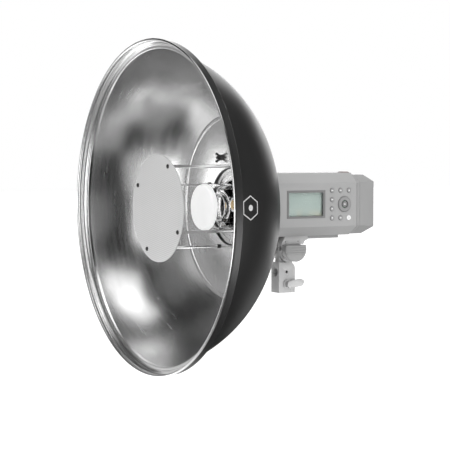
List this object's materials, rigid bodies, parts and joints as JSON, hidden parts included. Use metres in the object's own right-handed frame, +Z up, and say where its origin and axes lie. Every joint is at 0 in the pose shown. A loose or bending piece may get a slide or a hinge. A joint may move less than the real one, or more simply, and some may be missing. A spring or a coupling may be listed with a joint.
{
  "type": "studio flash head with reflector dish",
  "caption": "Battery studio flash head with a wide spun-metal reflector dish, a centre deflector disc on stand-off rods, and a tilting stand bracket with a spigot socket.",
  "frame": {"origin": "centre of the stand socket's mouth, on the underside of the bracket", "axes": "+Z up along the stand socket, -Y the way the dish faces, +X the control panel's side"},
  "size_m": [0.56, 0.427, 0.56],
  "materials": {
    "spun_aluminium": "brushed, bright inside; satin black paint outside",
    "adapter_metal": "satin turned",
    "dark_hardware": "blackened zinc",
    "bright_steel": "polished",
    "disc_aluminium": "fine perforated satin",
    "black_plastic": "fine grain",
    "grey_plastic": "fine spark grain",
    "key_plastic": "satin",
    "white_key": "satin",
    "bezel_plastic": "satin",
    "display_glass": "clear",
    "display_face": "reflective liquid crystal",
    "frosted_glass": "frosted white",
    "clear_glass": "clear",
    "white_ceramic": "fired matt",
    "mirror_metal": "polished",
    "amber_phosphor": "soft gloss",
    "circuit_board": "solder resist",
    "sheet_steel": "zinc plated",
    "capacitor_sleeve": "shrink sleeve",
    "cell_sleeve": "shrink sleeve",
    "bracket_metal": "light grey powder coat",
    "grip_rubber": "ribbed matt",
    "latch_plastic": "matt"
  },
  "bodies": {
    "stand": {"stand_bracket": "bracket_metal"},
    "head": {"front_mount_ring": "black_plastic", "frosted_cap": "frosted_glass", "glass_sleeve": "clear_glass", "tube_base": "white_ceramic", "flash_tube": "clear_glass", "tube_electrodes": "bright_steel", "trigger_wire": "bright_steel", "tube_clips": "bright_steel", "inner_reflector": "mirror_metal", "lamp_board": "sheet_steel", "lamp_chip": "amber_phosphor", "lamp_dome": "clear_glass", "housing_right": "grey_plastic", "housing_left": "grey_plastic", "display_bezel": "bezel_plastic", "display_window": "display_glass", "display_module": "display_face", "control_board": "circuit_board", "chassis_plate": "sheet_steel", "capacitor_bank": "capacitor_sleeve", "capacitor_cradle": "black_plastic", "power_board": "circuit_board", "fan_frame": "black_plastic", "sync_jack": "bright_steel", "battery_rail": "black_plastic", "mount_rail": "bracket_metal", "hinge_base": "bracket_metal", "base_bolts": "bright_steel", "tilt_pin": "bright_steel", "tilt_spacer": "sheet_steel"},
    "dish": {"dish_bowl": "spun_aluminium", "dish_adapter": "adapter_metal", "adapter_studs": "dark_hardware", "wing_nuts": "dark_hardware", "deflector_disc": "disc_aluminium", "deflector_rods": "bright_steel", "rod_screws": "dark_hardware", "rod_nuts": "dark_hardware"},
    "release_slider": {"release_slider": "black_plastic", "release_pin": "bright_steel"},
    "stand_lever": {"stand_lock_lever": "bracket_metal"},
    "tilt_grip": {"tilt_grip": "grip_rubber"},
    "umbrella_screw": {"umbrella_screw": "bright_steel"},
    "battery": {"battery_plate": "grey_plastic", "battery_case": "grey_plastic", "battery_cells": "cell_sleeve"},
    "battery_latch": {"battery_latch": "latch_plastic"},
    "dial": {"dial": "key_plastic"},
    "set_button": {"set_button": "key_plastic"},
    "fan": {"fan_rotor": "black_plastic"},
    "port_flap": {"port_flap": "grip_rubber"},
    "lock_button": {"lock_button": "key_plastic"},
    "group_button": {"group_button": "key_plastic"},
    "channel_button": {"channel_button": "key_plastic"},
    "wireless_button": {"wireless_button": "key_plastic"},
    "test_button": {"test_button": "key_plastic"},
    "lamp_button": {"lamp_button": "key_plastic"},
    "menu_button": {"menu_button": "key_plastic"},
    "power_button": {"power_button": "white_key"}
  },
  "joints": [
    {"name": "head_tilt", "type": "hinge", "parent": "stand", "child": "head", "pos_m": [0, 0, 0.067], "axis": [1, 0, 0], "range_deg": [-90, 45]},
    {"name": "tilt_lock", "type": "hinge", "parent": "head", "child": "tilt_grip", "pos_m": [0.033, 0, 0.067], "axis": [1, 0, 0], "range_deg": [0, 90]},
    {"name": "stand_lock", "type": "hinge", "parent": "stand", "child": "stand_lever", "pos_m": [0.02, 0, 0.015], "axis": [1, 0, 0], "range_deg": [0, 270]},
    {"name": "umbrella_lock", "type": "hinge", "parent": "head", "child": "umbrella_screw", "pos_m": [0.0195, 0.012, 0.0675], "axis": [0, 0, 1], "range_deg": [0, 360]},
    {"name": "dish_twist", "type": "hinge", "parent": "head", "child": "dish", "pos_m": [0, -0.0925, 0.1525], "axis": [0, 1, 0], "range_deg": [0, 30]},
    {"name": "dish_release", "type": "slide", "parent": "head", "child": "release_slider", "axis": [0, 1, 0], "range_m": [0, 0.004], "stiffness_N_per_m": 400},
    {"name": "lock_button_press", "type": "slide", "parent": "head", "child": "lock_button", "axis": [-1, 0, 0], "range_m": [0, 0.0008], "stiffness_N_per_m": 600},
    {"name": "group_button_press", "type": "slide", "parent": "head", "child": "group_button", "axis": [-1, 0, 0], "range_m": [0, 0.0008], "stiffness_N_per_m": 600},
    {"name": "channel_button_press", "type": "slide", "parent": "head", "child": "channel_button", "axis": [-1, 0, 0], "range_m": [0, 0.0008], "stiffness_N_per_m": 600},
    {"name": "wireless_button_press", "type": "slide", "parent": "head", "child": "wireless_button", "axis": [-1, 0, 0], "range_m": [0, 0.0008], "stiffness_N_per_m": 600},
    {"name": "test_button_press", "type": "slide", "parent": "head", "child": "test_button", "axis": [-1, 0, 0], "range_m": [0, 0.0008], "stiffness_N_per_m": 600},
    {"name": "lamp_button_press", "type": "slide", "parent": "head", "child": "lamp_button", "axis": [-1, 0, 0], "range_m": [0, 0.0008], "stiffness_N_per_m": 600},
    {"name": "menu_button_press", "type": "slide", "parent": "head", "child": "menu_button", "axis": [-1, 0, 0], "range_m": [0, 0.0008], "stiffness_N_per_m": 600},
    {"name": "power_button_press", "type": "slide", "parent": "head", "child": "power_button", "axis": [-1, 0, 0], "range_m": [0, 0.0008], "stiffness_N_per_m": 600},
    {"name": "dial_turn", "type": "hinge", "parent": "head", "child": "dial", "pos_m": [0.059, 0.088, 0.1553], "axis": [1, 0, 0], "continuous": true},
    {"name": "set_button_press", "type": "slide", "parent": "head", "child": "set_button", "axis": [-1, 0, 0], "range_m": [0, 0.0008], "stiffness_N_per_m": 600},
    {"name": "battery_slide", "type": "slide", "parent": "head", "child": "battery", "axis": [0, 0, 1], "range_m": [0, 0.11]},
    {"name": "latch_slide", "type": "slide", "parent": "head", "child": "battery_latch", "axis": [0, -1, 0], "range_m": [0, 0.004], "stiffness_N_per_m": 400},
    {"name": "fan_spin", "type": "hinge", "parent": "head", "child": "fan", "pos_m": [0, 0.0665, 0.1342], "axis": [0, 1, 0], "continuous": true},
    {"name": "port_flap_open", "type": "hinge", "parent": "head", "child": "port_flap", "pos_m": [-0.0608, 0.0585, 0.1605], "axis": [0, 0, 1], "range_deg": [0, 110]}
  ]
}
